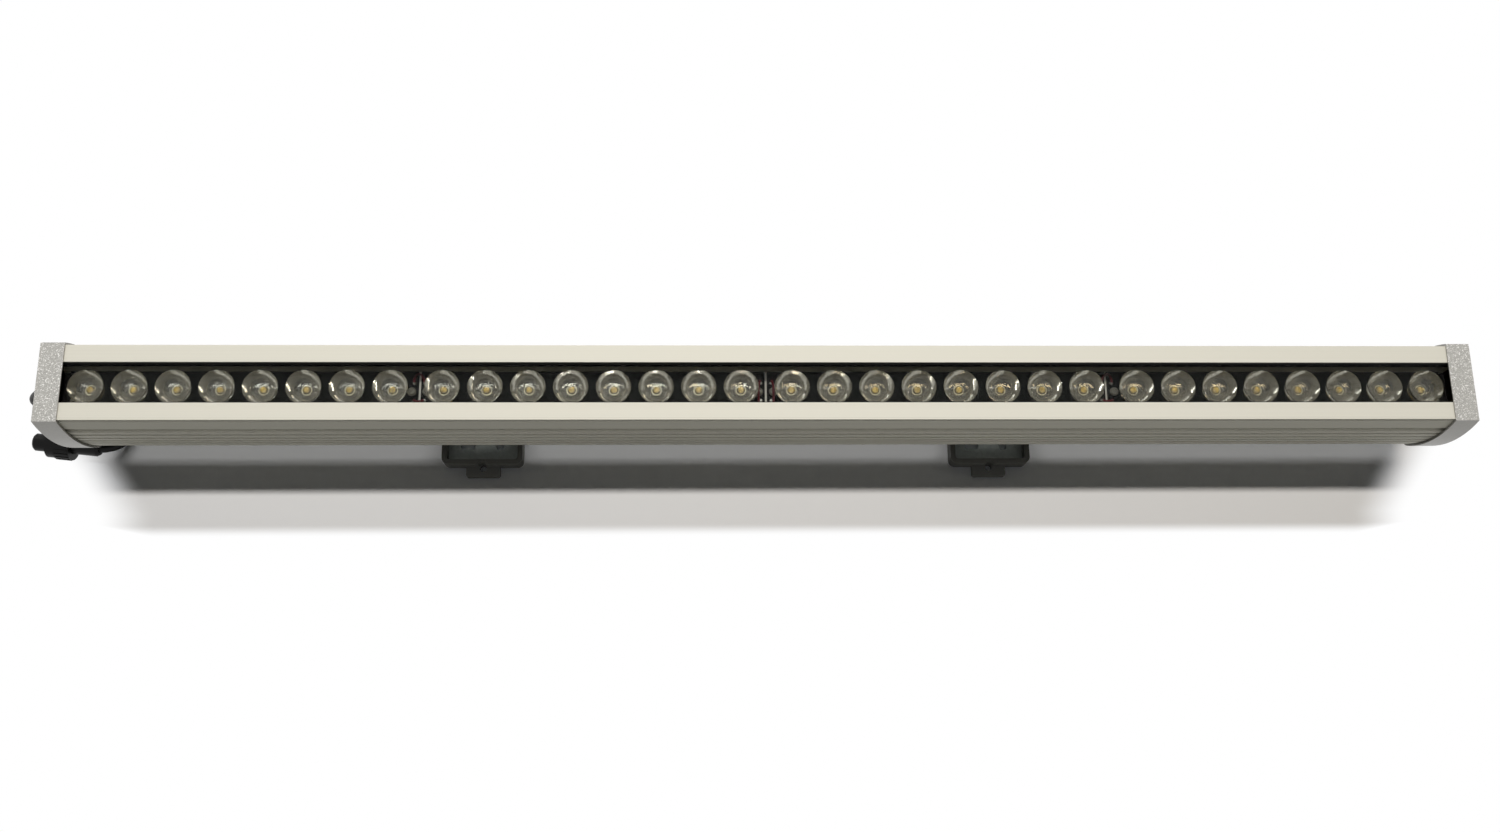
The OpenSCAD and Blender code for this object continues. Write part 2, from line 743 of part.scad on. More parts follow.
module driver_case() {
    color("#c9c9c5")
        difference() {
            union() {
                translate([driver_ends[0] + driver_flange, -driver_w / 2, driver_top - driver_h])
                    cube([driver_len - 2 * driver_flange, driver_w, driver_h]);
                translate([driver_ends[0], -driver_w / 2, driver_top - driver_h + 5])
                    cube([driver_len, driver_w, 6]);
                translate([driver_ends[0] - 6, -driver_w / 2, driver_top - driver_flange_t])
                    cube([driver_len + 12, driver_w, driver_flange_t]);
            }
            for (x = driver_ends, y = [-1, 1])
                translate([x, y * driver_w / 4, driver_top - driver_h - 1])
                    cylinder(h = driver_h + 2, r = driver_screw_r + 0.15);
            for (x = driver_ends, y = [-1, 1])
                translate([x, y * driver_w / 4, driver_top - driver_h - 1])
                    cylinder(h = driver_h + 1 - driver_flange_t, r = 3.4);
        }
}

module driver_screws() {
    color("#8d8d88")
        for (x = driver_ends, y = [-1, 1])
            translate([x, y * driver_w / 4, 0]) {
                translate([0, 0, driver_top - driver_flange_t - 0.05])
                    cylinder(h = driver_flange_t + 2.5, r = driver_screw_r);
                translate([0, 0, driver_top - driver_flange_t - seat_gap - 2])
                    cylinder(h = 2, r = 3);
            }
}

// The lead's two cores, from the end of its jacket to the driver
module input_cores() {
    jacket_end = lead_points[0].x + 0.1;
    run = driver_ends[0] - jacket_end;
    color("#4a1018")
        for (s = [-1, 1])
            tube([[jacket_end, s * 1.5, gland_z], [jacket_end + run * 0.055, s * 1.6, gland_z],
                  [jacket_end + run * 0.19, s * 3, gland_z + 2],
                  [driver_ends[0] - run * 0.22, s * 4, driver_top - 13],
                  [driver_ends[0] - run * 0.066, s * 4, driver_top - driver_h + 8],
                  [driver_ends[0] - 0.1, s * 4, driver_top - driver_h + 8]],
                 1, 8, [0, 0, 1]);
}

module gland_body() {
    color("#1b1b1b")
        difference() {
            union() {
                bar_x(-end_x - 2.5, -end_x - seat_gap, 0, gland_z, gland_flange_r);
                bar_x(-end_x - 7, -end_x + cap_end_t + 8, 0, gland_z, gland_r);
            }
            bar_x(-end_x - 8, -end_x + cap_end_t + 9, 0, gland_z, lead_hole_r + 1.4);
        }
}

module gland_locknut() {
    color("#1b1b1b")
        difference() {
            translate([-end_x + cap_end_t + seat_gap, 0, gland_z])
                rotate([30, 0, 0]) rotate([0, 90, 0]) cylinder(h = 4, r = gland_r + 2.4, $fn = 6);
            bar_x(-end_x, -end_x + cap_end_t + 5, 0, gland_z, gland_r + screw_gap);
        }
}

module gland_seal() {
    color("#2a2a28")
        difference() {
            bar_x(-end_x - 6.9, -end_x + 6, 0, gland_z, lead_hole_r + 1.4 - screw_gap);
            bar_x(-end_x - 8, -end_x + 7, 0, gland_z, lead_hole_r);
        }
}

module gland_nut() {
    color("#1b1b1b")
        difference() {
            union() {
                translate([-end_x - 7.5, 0, gland_z])
                    rotate([0, 90, 0]) cylinder(h = 4.9, r = 8.6, $fn = 6);
                translate([-end_x - gland_nut_x, 0, gland_z])
                    rotate([0, 90, 0]) cylinder(h = gland_nut_x - 7.5, r1 = 5.2, r2 = 7.2);
            }
            bar_x(-end_x - 7.1, -end_x - 2, 0, gland_z, gland_r + screw_gap);
            bar_x(-end_x - 11, -end_x - 2, 0, gland_z, lead_hole_r);
        }
}

module input_lead() {
    color("#161616") tube(lead_points, lead_r, lead_sides, [0, 0, 1]);
}

// Places a piece of the connector: its own -X axis runs from the tail's end to the tip
module at_connector() {
    translate(tail_at) rotate([0, 0, connector_yaw]) children();
}

module connector_body() {
    color("#121212")
        at_connector()
            difference() {
                union() {
                    bar_x(-nut_back, -2, 0, 0, tail_d / 2);
                    translate([-2, 0, 0])
                        rotate([0, 90, 0]) cylinder(h = 2, r1 = tail_d / 2, r2 = tail_d / 2 - 1.2);
                    bar_x(-barrel_tip + 1, -nut_back, 0, 0, barrel_d / 2 - 0.3);
                    translate([-barrel_tip, 0, 0])
                        rotate([0, 90, 0])
                            cylinder(h = 1.2, r1 = barrel_d / 2 - 1, r2 = barrel_d / 2);
                    bar_x(-barrel_tip + 1.2, -nut_front, 0, 0, barrel_d / 2);
                    bar_x(-nut_back - 9.5, -nut_back - 6.2, 0, 0, barrel_d / 2 + 1.4);
                }
                bar_x(-socket_depth - 0.3, 1, 0, 0, lead_hole_r);
                for (s = [-1, 1])
                    bar_x(-barrel_tip - 1, -barrel_tip + 8.05, s * 2.2, 0, 1.25);
            }
}

module connector_contacts() {
    color("#c9a14a")
        at_connector()
            for (s = [-1, 1])
                difference() {
                    bar_x(-barrel_tip + 0.6, -barrel_tip + 8, s * 2.2, 0, 1.2);
                    bar_x(-barrel_tip - 1, -barrel_tip + 6, s * 2.2, 0, 0.7);
                }
}

module coupling_nut() {
    color("#151515")
        at_connector()
            difference() {
                union() {
                    bar_x(-nut_front, -nut_front + nut_collar_len, 0, 0, nut_d / 2 - 1.2);
                    bar_x(-nut_front + nut_collar_len, -nut_back - 1, 0, 0, nut_d / 2 - 0.6);
                    for (k = [0:nut_ribs - 1])
                        rotate([360 * k / nut_ribs, 0, 0])
                            translate([-nut_front + nut_collar_len + 1, nut_d / 2 - 1.5, -0.7])
                                cube([nut_len - nut_collar_len - 3, 1.35, 1.4]);
                }
                bar_x(-nut_front - 1, -nut_back - 6, 0, 0, barrel_d / 2 + 2);
                bar_x(-nut_back - 7, -nut_back, 0, 0, barrel_d / 2 - 0.3 + 0.08);
            }
}

// Moulded shoe round the steel plate, with a fixing lug at each end
module foot_shoe(x) {
    color("#22221e")
        translate([x, 0, 0])
            difference() {
                union() {
                    rounded_plate([foot_len, foot_w], foot_corner_r, foot_h);
                    rounded_plate([lug_w, foot_w + 2 * lug_out], 2, lug_t);
                }
                translate([0, 0, plate_top])
                    rounded_plate([2 * inner_half_len, 2 * inner_half_w], foot_corner_r - 3, foot_h);
                translate([-inner_half_len - plate_grip, -inner_half_w - plate_grip, shoe_ledge_t])
                    cube([2 * (inner_half_len + plate_grip), 2 * (inner_half_w + plate_grip), plate_t]);
                translate([0, 0, -1])
                    rounded_plate([2 * (inner_half_len - shoe_ledge_w),
                                   2 * (inner_half_w - shoe_ledge_w)], 2, 3);
                for (s = [-1, 1]) {
                    translate([0, s * lug_hole_y, -1]) cylinder(h = lug_t + 2, r = lug_hole_r);
                    translate([0, s * lug_hole_y, lug_t]) cylinder(h = foot_h, r = lug_relief_r);
                    translate([s > 0 ? inner_half_len - 1 : -foot_len / 2 - 1, -pivot_head_r - 1.6,
                               pivot_z - pivot_head_r - 1.2])
                        cube([foot_wall_t + 2, 2 * pivot_head_r + 3.2, foot_h]);
                }
            }
}

// Steel plate with two ears bent up beside the saddle
module foot_plate(x) {
    color("#5d5e59")
        translate([x, 0, 0])
            difference() {
                union() {
                    translate([-inner_half_len - plate_grip + seat_gap,
                               -inner_half_w - plate_grip + seat_gap, shoe_ledge_t + seat_gap])
                        cube([2 * (inner_half_len + plate_grip - seat_gap),
                              2 * (inner_half_w + plate_grip - seat_gap), plate_t - 2 * seat_gap]);
                    for (s = [-1, 1])
                        translate([s > 0 ? ear_in_x : -ear_out_x, 0, 0]) {
                            translate([0, 0, pivot_z])
                                rotate([0, 90, 0]) cylinder(h = plate_t, r = ear_r);
                            translate([0, -ear_r, plate_top - 1])
                                cube([plate_t, 2 * ear_r, pivot_z - plate_top + 1]);
                        }
                }
                bar_x(-foot_len, foot_len, 0, pivot_z, pivot_r + screw_gap);
                for (s = [-1, 1]) {
                    translate([plate_hole_x, s * plate_hole_y, 0])
                        cylinder(h = 2 * plate_top, r = plate_hole_r);
                    translate([-plate_hole_x, s * plate_hole_y, 0])
                        plate_slot();
                }
            }
}

module plate_slot() {
    reach = (plate_slot_len - plate_slot_w) / 2;
    for (s = [-1, 1])
        translate([s * reach, 0, 0]) cylinder(h = 2 * plate_top, r = plate_slot_w / 2);
    translate([-reach, -plate_slot_w / 2, 0]) cube([2 * reach, plate_slot_w, 2 * plate_top]);
}

module pivot_bolts(x) {
    color("#77776f")
        translate([x, 0, 0])
            for (m = [0, 1])
                mirror([m, 0, 0]) {
                    bar_x(pivot_nut_out_x - pivot_nut_h - 1, ear_out_x + seat_gap, 0, pivot_z, pivot_r);
                    difference() {
                        bar_x(ear_out_x + seat_gap, ear_out_x + seat_gap + pivot_head_h, 0, pivot_z,
                              pivot_head_r);
                        translate([ear_out_x + 1.4, 0, pivot_z])
                            rotate([0, 90, 0]) cylinder(h = 3, r = 2.3, $fn = 6);
                    }
                }
}

module pivot_nuts(x) {
    color("#8a8a83")
        translate([x, 0, 0])
            for (m = [0, 1])
                mirror([m, 0, 0])
                    difference() {
                        translate([pivot_nut_out_x - pivot_nut_h, 0, pivot_z])
                            rotate([0, 90, 0]) cylinder(h = pivot_nut_h, r = pivot_nut_r, $fn = 6);
                        bar_x(pivot_nut_out_x - pivot_nut_h - 1, pivot_nut_out_x + 1, 0, pivot_z,
                              pivot_r + 0.02);
                    }
}

// Bent saddle under the light, with a leg inside each ear
module saddle(x) {
    color("#5d5e59")
        translate([x, 0, 0])
            difference() {
                union() {
                    translate([-leg_out_x, -saddle_half_w, saddle_bottom_z])
                        cube([2 * leg_out_x, 2 * saddle_half_w, saddle_plate_t]);
                    for (s = [-1, 1])
                        translate([s > 0 ? leg_in_x : -leg_out_x, 0, 0]) {
                            translate([0, 0, pivot_z])
                                rotate([0, 90, 0]) cylinder(h = saddle_t, r = ear_r);
                            translate([0, -ear_r, pivot_z])
                                cube([saddle_t, 2 * ear_r, saddle_bottom_z - pivot_z + 1]);
                        }
                }
                bar_x(-foot_len, foot_len, 0, pivot_z, pivot_r + pivot_gap);
                for (s = [-1, 1])
                    translate([s * saddle_screw_pitch / 2, 0, saddle_bottom_z - 1])
                        cylinder(h = saddle_plate_t + 2, r = saddle_screw_r + 0.15);
            }
}

module saddle_screws(x) {
    color("#8d8d88")
        for (s = [-1, 1])
            translate([x + s * saddle_screw_pitch / 2, 0, 0]) {
                translate([0, 0, saddle_bottom_z - seat_gap])
                    cylinder(h = slot_floor_z + slide_nut_h - saddle_bottom_z, r = saddle_screw_r);
                difference() {
                    translate([0, 0, saddle_bottom_z - seat_gap - saddle_head_h])
                        cylinder(h = saddle_head_h, r = saddle_head_r);
                    translate([0, 0, saddle_bottom_z - saddle_head_h - 1])
                        cylinder(h = 2.4, r = 2, $fn = 6);
                }
            }
}

module slide_nut(x) {
    color("#9a9a92")
        difference() {
            translate([x - slide_nut_len / 2, -slide_nut_half_w, slot_floor_z + seat_gap])
                cube([slide_nut_len, 2 * slide_nut_half_w, slide_nut_h]);
            for (s = [-1, 1])
                translate([x + s * saddle_screw_pitch / 2, 0, slot_floor_z - 1])
                    cylinder(h = slide_nut_h + 3, r = saddle_screw_r + screw_gap);
        }
}

module left_foot_shoe() { foot_shoe(left_foot_x); }
module left_foot_plate() { foot_plate(left_foot_x); }
module left_pivot_bolts() { pivot_bolts(left_foot_x); }
module left_pivot_nuts() { pivot_nuts(left_foot_x); }
module left_saddle() { saddle(left_foot_x); }
module left_saddle_screws() { saddle_screws(left_foot_x); }
module left_slide_nut() { slide_nut(left_foot_x); }
module right_foot_shoe() { foot_shoe(right_foot_x); }
module right_foot_plate() { foot_plate(right_foot_x); }
module right_pivot_bolts() { pivot_bolts(right_foot_x); }
module right_pivot_nuts() { pivot_nuts(right_foot_x); }
module right_saddle() { saddle(right_foot_x); }
module right_saddle_screws() { saddle_screws(right_foot_x); }
module right_slide_nut() { slide_nut(right_foot_x); }

housing_extrusion();
lower_sides();
back_wall();
channel_walls();
channel_roof();
left_end_cap();
right_end_cap();
left_end_gasket();
right_end_gasket();
end_cap_screws();
glass_cover();
glazing_seals();
channel_liners();
led_board_1();
led_board_2();
led_board_3();
led_board_4();
board_screws();
led_emitters();
led_domes();
beam_lenses_1();
beam_lenses_2();
beam_lenses_3();
beam_lenses_4();
solder_pads();
jumper_wires();
feed_wires();
driver_case();
driver_screws();
input_cores();
gland_body();
gland_locknut();
gland_seal();
gland_nut();
input_lead();
connector_body();
coupling_nut();
connector_contacts();
left_foot_shoe();
left_foot_plate();
left_pivot_bolts();
left_pivot_nuts();
left_saddle();
left_saddle_screws();
left_slide_nut();
right_foot_shoe();
right_foot_plate();
right_pivot_bolts();
right_pivot_nuts();
right_saddle();
right_saddle_screws();
right_slide_nut();
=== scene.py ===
import math

import bmesh
import bpy
from mathutils import Euler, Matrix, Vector


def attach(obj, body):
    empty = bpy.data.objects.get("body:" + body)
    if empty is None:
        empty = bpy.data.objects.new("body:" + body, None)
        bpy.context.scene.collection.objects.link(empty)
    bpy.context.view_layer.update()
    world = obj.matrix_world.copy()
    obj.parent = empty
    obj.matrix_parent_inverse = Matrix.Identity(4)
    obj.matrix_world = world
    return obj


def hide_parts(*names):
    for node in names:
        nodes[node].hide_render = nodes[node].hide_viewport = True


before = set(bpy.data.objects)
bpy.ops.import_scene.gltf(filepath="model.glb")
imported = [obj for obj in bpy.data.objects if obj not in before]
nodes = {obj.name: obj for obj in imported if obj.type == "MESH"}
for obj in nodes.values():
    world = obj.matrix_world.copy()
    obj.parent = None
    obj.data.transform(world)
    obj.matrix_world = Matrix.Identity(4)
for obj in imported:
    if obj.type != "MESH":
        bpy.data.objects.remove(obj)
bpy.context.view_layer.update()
scene = bpy.context.scene
scene.view_settings.view_transform = "Standard"

# Camera. It stands about a metre above the light and a little in front of it, looking down
# at the glass, so that the front flank and the fronts of both feet show below it.
eye = bpy.data.cameras.new("eye")
eye.sensor_width = 36
eye.lens = 34.678
eye_object = bpy.data.objects.new("eye", eye)
eye_object.location = (-0.04751, -0.28482, 1.07185)
eye_object.rotation_euler = Euler([math.radians(a) for a in (15.147, -1.938, -0.564)])
scene.collection.objects.link(eye_object)
scene.camera = eye_object

# Jacketed lead. Black rubber flex of 6.5 mm, extruded smooth, that leaves the left end cap
# through a gland, bends down to the floor behind the light's end, and comes back to the
# connector. It is short, as the pigtail of such a light is.
left_end, gland_z, lead_d = -0.5, 0.045, 0.0065
connector_yaw = math.radians(-6)
connector_axis = Vector((math.cos(connector_yaw), math.sin(connector_yaw), 0))
tail_end = Vector((-0.4925, -0.0227, 0.0116))
lead_route = [
    (-0.012, 0, gland_z), (-0.025, 0.002, 0.0425), (-0.0345, 0.008, 0.035),
    (-0.038, 0.0155, 0.024), (-0.0345, 0.023, 0.013), (-0.025, 0.029, 0.006),
    (-0.012, 0.031, 0.0035), (0.002, 0.031, 0.0035), (0.0145, 0.0275, 0.0035),
    (0.0235, 0.018, 0.0035), (0.0275, 0.0055, 0.0035), (0.027, -0.005, 0.0035),
    (0.0235, -0.0135, 0.0046), (0.0175, -0.0195, 0.0076), (0.011, -0.0223, 0.0107)]
lead_points = [Vector((left_end + 0.02, 0, gland_z)), Vector((left_end - 0.002, 0, gland_z))]
lead_points += [Vector((left_end + x, y, z)) for x, y, z in lead_route]
lead_points += [tail_end, tail_end - connector_axis * 0.0035]


def linear(colour):
    """sRGB hex to the linear colour that a shader socket takes."""
    parts = [int(colour[i:i + 2], 16) / 255 for i in (1, 3, 5)]
    return [p / 12.92 if p <= 0.04045 else ((p + 0.055) / 1.055) ** 2.4 for p in parts] + [1]


def add(tree, kind, sockets=None, **settings):
    """Adds a node, sets its settings, and fills its sockets with values or with links."""
    made = tree.nodes.new(kind)
    for name, value in settings.items():
        setattr(made, name, value)
    for name, value in (sockets or {}).items():
        if isinstance(value, bpy.types.NodeSocket):
            tree.links.new(value, made.inputs[name])
        else:
            made.inputs[name].default_value = value
    return made


def blank(name):
    """A new material with an empty tree, and its tree."""
    made = bpy.data.materials.new(name)
    made.use_nodes = True
    made.node_tree.nodes.clear()
    return made, made.node_tree


# Extruded rubber: almost black and satin, with handling marks in patches of about 4 mm.
jacket, tree = blank("extruded_black_rubber")
place = add(tree, "ShaderNodeTexCoord").outputs["Object"]
marks = add(tree, "ShaderNodeTexNoise", {"Vector": place, "Scale": 260.0, "Detail": 4.0})
shade = add(tree, "ShaderNodeMix", {0: marks.outputs["Fac"], 6: linear("#070707"),
                                    7: linear("#131211")}, data_type="RGBA")
relief = add(tree, "ShaderNodeBump", {"Height": marks.outputs["Fac"], "Strength": 0.15,
                                      "Distance": 0.0002})
skin = add(tree, "ShaderNodeBsdfPrincipled", {
    "Base Color": shade.outputs[2], "Roughness": 0.42, "Specular IOR Level": 0.15,
    "Normal": relief.outputs["Normal"]})
add(tree, "ShaderNodeOutputMaterial", {"Surface": skin.outputs["BSDF"]})


def smooth_line(points, steps):
    """Points on a Catmull-Rom curve through the given points."""
    found = []
    for i in range(len(points) - 1):
        a, b = points[max(i - 1, 0)], points[i]
        c, d = points[i + 1], points[min(i + 2, len(points) - 1)]
        for k in range(steps):
            t = k / steps
            found.append(0.5 * (2 * b + (c - a) * t + (2 * a - 5 * b + 4 * c - d) * t * t
                                + (3 * b - a - 3 * c + d) * t ** 3))
    return found + [points[-1]]


def round_bar(points, radius, sides):
    """A mesh tube with closed ends along the given points."""
    mesh = bmesh.new()
    rings, side = [], Vector((0, 0, 1))
    for i, point in enumerate(points):
        ahead = (points[min(i + 1, len(points) - 1)] - points[max(i - 1, 0)]).normalized()
        side = (side - ahead * side.dot(ahead)).normalized()
        other = ahead.cross(side)
        rings.append([mesh.verts.new(point + radius * (math.cos(a) * side + math.sin(a) * other))
                      for a in [2 * math.pi * k / sides for k in range(sides)]])
    for low, high in zip(rings, rings[1:]):
        for k in range(sides):
            corners = (low[k], low[(k + 1) % sides], high[(k + 1) % sides], high[k])
            mesh.faces.new(corners).smooth = True
    mesh.faces.new(reversed(rings[0]))
    mesh.faces.new(rings[-1])
    return mesh


def in_scene(name, mesh, material):
    """An object in the scene, made of a finished mesh and its material."""
    data = bpy.data.meshes.new(name)
    mesh.to_mesh(data)
    mesh.free()
    data.materials.append(material)
    made = bpy.data.objects.new(name, data)
    scene.collection.objects.link(made)
    return made


lead_line = smooth_line(lead_points, 6)
lead = in_scene("lead", round_bar(lead_line, lead_d / 2, 24), jacket)
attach(lead, "lamp")
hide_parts("input_lead")

# Waterproof connector and gland. Both are moulded in black nylon: the connector has a round
# barrel and two plated pins, and a ribbed coupling nut that turns on it; the gland screws
# into the left end cap and grips the lead.


def dress(node, material):
    """Gives a carried-over CAD node its material."""
    for slot in nodes[node].material_slots:
        slot.material = material


# Moulded nylon: near black and satin. The mould's spark grain is drawn 0.7 mm wide, coarser
# than it is, so that it shows.
nylon, tree = blank("moulded_black_nylon")
place = add(tree, "ShaderNodeTexCoord").outputs["Object"]
grain = add(tree, "ShaderNodeTexNoise", {"Vector": place, "Scale": 1400.0, "Detail": 2.0})
shade = add(tree, "ShaderNodeMix", {0: grain.outputs["Fac"], 6: linear("#060606"),
                                    7: linear("#100F0E")}, data_type="RGBA")
relief = add(tree, "ShaderNodeBump", {"Height": grain.outputs["Fac"], "Strength": 0.2,
                                      "Distance": 0.0001})
skin = add(tree, "ShaderNodeBsdfPrincipled", {
    "Base Color": shade.outputs[2], "Roughness": 0.38, "Specular IOR Level": 0.15,
    "Normal": relief.outputs["Normal"]})
add(tree, "ShaderNodeOutputMaterial", {"Surface": skin.outputs["BSDF"]})
for node in ("connector_body", "coupling_nut", "gland_body", "gland_locknut", "gland_nut"):
    dress(node, nylon)

# Plated brass: a thin gold-coloured flash on turned pins, rubbed paler in patches of 1 mm.
brass, tree = blank("plated_brass")
place = add(tree, "ShaderNodeTexCoord").outputs["Object"]
worn = add(tree, "ShaderNodeTexNoise", {"Vector": place, "Scale": 900.0})
shade = add(tree, "ShaderNodeMix", {0: worn.outputs["Fac"], 6: linear("#B98A3C"),
                                    7: linear("#DDB968")}, data_type="RGBA")
skin = add(tree, "ShaderNodeBsdfPrincipled", {
    "Base Color": shade.outputs[2], "Metallic": 1.0, "Roughness": 0.25})
add(tree, "ShaderNodeOutputMaterial", {"Surface": skin.outputs["BSDF"]})
dress("connector_contacts", brass)

# Feet. Each is a dark grey nylon shoe moulded round a steel plate. The plate's ears carry the
# saddle on two pivot bolts, and two screws clamp the saddle to a nut in the back channel.

# Moulded nylon, glass filled: dark grey and satin. Its spark grain is drawn 0.9 mm wide,
# coarser than it is, over flow marks of about 18 mm.
shoe_nylon, tree = blank("moulded_grey_nylon")
place = add(tree, "ShaderNodeTexCoord").outputs["Object"]
grain = add(tree, "ShaderNodeTexNoise", {"Vector": place, "Scale": 1100.0, "Detail": 3.0})
flow = add(tree, "ShaderNodeTexNoise", {"Vector": place, "Scale": 55.0, "Detail": 3.0})
fine = add(tree, "ShaderNodeMix", {0: grain.outputs["Fac"], 6: linear("#2B2B27"),
                                   7: linear("#42423C")}, data_type="RGBA")
shade = add(tree, "ShaderNodeMix", {0: flow.outputs["Fac"], 6: fine.outputs[2],
                                    7: linear("#393934")}, data_type="RGBA")
relief = add(tree, "ShaderNodeBump", {"Height": grain.outputs["Fac"], "Strength": 0.3,
                                      "Distance": 0.00012})
skin = add(tree, "ShaderNodeBsdfPrincipled", {
    "Base Color": shade.outputs[2], "Roughness": 0.5, "Normal": relief.outputs["Normal"]})
add(tree, "ShaderNodeOutputMaterial", {"Surface": skin.outputs["BSDF"]})

# Pressed steel under a thin metallic grey paint, scuffed from handling in marks of about 2 mm.
plate_paint, tree = blank("painted_steel_plate")
place = add(tree, "ShaderNodeTexCoord").outputs["Object"]
scuff = add(tree, "ShaderNodeTexNoise", {"Vector": place, "Scale": 420.0, "Detail": 5.0,
                                         "Distortion": 0.6})
shade = add(tree, "ShaderNodeMix", {0: scuff.outputs["Fac"], 6: linear("#747977"),
                                    7: linear("#979D9B")}, data_type="RGBA")
relief = add(tree, "ShaderNodeBump", {"Height": scuff.outputs["Fac"], "Strength": 0.2,
                                      "Distance": 0.0001})
skin = add(tree, "ShaderNodeBsdfPrincipled", {
    "Base Color": shade.outputs[2], "Metallic": 0.35, "Roughness": 0.45,
    "Normal": relief.outputs["Normal"]})
add(tree, "ShaderNodeOutputMaterial", {"Surface": skin.outputs["BSDF"]})

# Zinc plate on steel: bright and slightly blotched, in crystals drawn 1.4 mm wide.
zinc, tree = blank("zinc_plated_steel")
place = add(tree, "ShaderNodeTexCoord").outputs["Object"]
crystal = add(tree, "ShaderNodeTexNoise", {"Vector": place, "Scale": 700.0, "Detail": 4.0})
shade = add(tree, "ShaderNodeMix", {0: crystal.outputs["Fac"], 6: linear("#8F8F89"),
                                    7: linear("#C4C4BD")}, data_type="RGBA")
skin = add(tree, "ShaderNodeBsdfPrincipled", {
    "Base Color": shade.outputs[2], "Metallic": 1.0, "Roughness": 0.32})
add(tree, "ShaderNodeOutputMaterial", {"Surface": skin.outputs["BSDF"]})
for side in ("left", "right"):
    dress(side + "_foot_shoe", shoe_nylon)
    dress(side + "_foot_plate", plate_paint)
    dress(side + "_saddle", plate_paint)
    for piece in ("_pivot_bolts", "_pivot_nuts", "_saddle_screws", "_slide_nut"):
        dress(side + piece, zinc)

# Body. One aluminium extrusion a metre long, clear anodised to a warm satin silver. The faces
# that point up, such as the two strips beside the glass, are painted lighter, and the sides
# darker and greyer, as painted light and shade; the sides have faint lines along them.
board_len, board_gap = 0.24275, 0.002
board_pitch = board_len + board_gap
web_top_z, web_half_w, outer_joints_x = 0.083, 0.0145, 0.4

# Anodised aluminium: a soft sheen with no sharp mirror. The die lines are drawn 0.8 mm apart,
# wider than they are, and run on for over 2 m; the etch under the oxide is 0.7 mm, also wider.
anodised, tree = blank("clear_anodised_aluminium")
coords = add(tree, "ShaderNodeTexCoord")
place = coords.outputs["Object"]
drawn = add(tree, "ShaderNodeMapping", {"Vector": place, "Scale": (0.03, 90.0, 90.0)})
lines = add(tree, "ShaderNodeTexNoise", {"Vector": drawn.outputs["Vector"], "Scale": 14.0,
                                         "Detail": 5.0})
etch = add(tree, "ShaderNodeTexNoise", {"Vector": place, "Scale": 1500.0, "Detail": 2.0})
up = add(tree, "ShaderNodeSeparateXYZ", {"Vector": coords.outputs["Normal"]})
# Painted light and shade: faces that point up get the lighter colour, the sides the darker one.
painted_light_facing = add(tree, "ShaderNodeMapRange", {"Value": up.outputs["Z"], "From Min": 0.75,
                                              "From Max": 0.97})
painted_lit_top_face = add(tree, "ShaderNodeMix", {0: lines.outputs["Fac"], 6: linear("#C9C7BC"),
                                          7: linear("#D2D0C6")}, data_type="RGBA")
painted_shaded_side_face = add(tree, "ShaderNodeMix", {0: lines.outputs["Fac"], 6: linear("#939185"),
                                       7: linear("#9E9C90")}, data_type="RGBA")
outside = add(tree, "ShaderNodeMix", {0: painted_light_facing.outputs["Result"], 6: painted_shaded_side_face.outputs[2],
                                      7: painted_lit_top_face.outputs[2]}, data_type="RGBA")
# The top of the web is near black; at each board gap between the outer joints it is bare milled
# aluminium, drawn near white with painted light, brighter than it would be in the gap's shade.
at = add(tree, "ShaderNodeSeparateXYZ", {"Vector": place})
deep = add(tree, "ShaderNodeMath", {0: at.outputs["Z"], 1: web_top_z, 2: 0.0003},
           operation="COMPARE")
inside = add(tree, "ShaderNodeMath", {0: at.outputs["Y"], 1: 0.0, 2: web_half_w},
             operation="COMPARE")
web_top = add(tree, "ShaderNodeMath", {0: deep.outputs[0], 1: inside.outputs[0]},
              operation="MULTIPLY")
gap = add(tree, "ShaderNodeMath", {0: at.outputs["X"], 1: board_pitch / 2, 2: -board_pitch / 2},
          operation="WRAP")
gap = add(tree, "ShaderNodeMath", {0: gap.outputs[0], 1: 0.0, 2: 0.0007}, operation="COMPARE")
middle = add(tree, "ShaderNodeMath", {0: at.outputs["X"], 1: 0.0, 2: outer_joints_x},
             operation="COMPARE")
# Painted light: the bare line in each board gap is drawn near white, brighter than it is in shade.
painted_lit_gap_line = add(tree, "ShaderNodeMath", {0: gap.outputs[0], 1: middle.outputs[0]},
             operation="MULTIPLY")
web = add(tree, "ShaderNodeMix", {0: painted_lit_gap_line.outputs[0], 6: linear("#171715"),
                                  7: linear("#F2F2EE")}, data_type="RGBA")
tone = add(tree, "ShaderNodeMix", {0: web_top.outputs[0], 6: outside.outputs[2],
                                   7: web.outputs[2]}, data_type="RGBA")
relief = add(tree, "ShaderNodeBump", {"Height": lines.outputs["Fac"], "Strength": 0.12,
                                      "Distance": 0.0001})
relief = add(tree, "ShaderNodeBump", {"Height": etch.outputs["Fac"], "Strength": 0.08,
                                      "Distance": 0.0001, "Normal": relief.outputs["Normal"]})
skin = add(tree, "ShaderNodeBsdfPrincipled", {
    "Base Color": tone.outputs[2], "Metallic": 0.5, "Roughness": 0.6,
    "Normal": relief.outputs["Normal"]})
add(tree, "ShaderNodeOutputMaterial", {"Surface": skin.outputs["BSDF"]})
# The extrusion is cut into five nodes in the frame, which meet face to face.
for node in ("housing_extrusion", "lower_sides", "back_wall", "channel_walls", "channel_roof"):
    dress(node, anodised)

# Boards. Four strips of glass-filled laminate, screwed down on the web end to end, with small
# soldered joints and pan-head screws at their ends, and red wires from board to board.

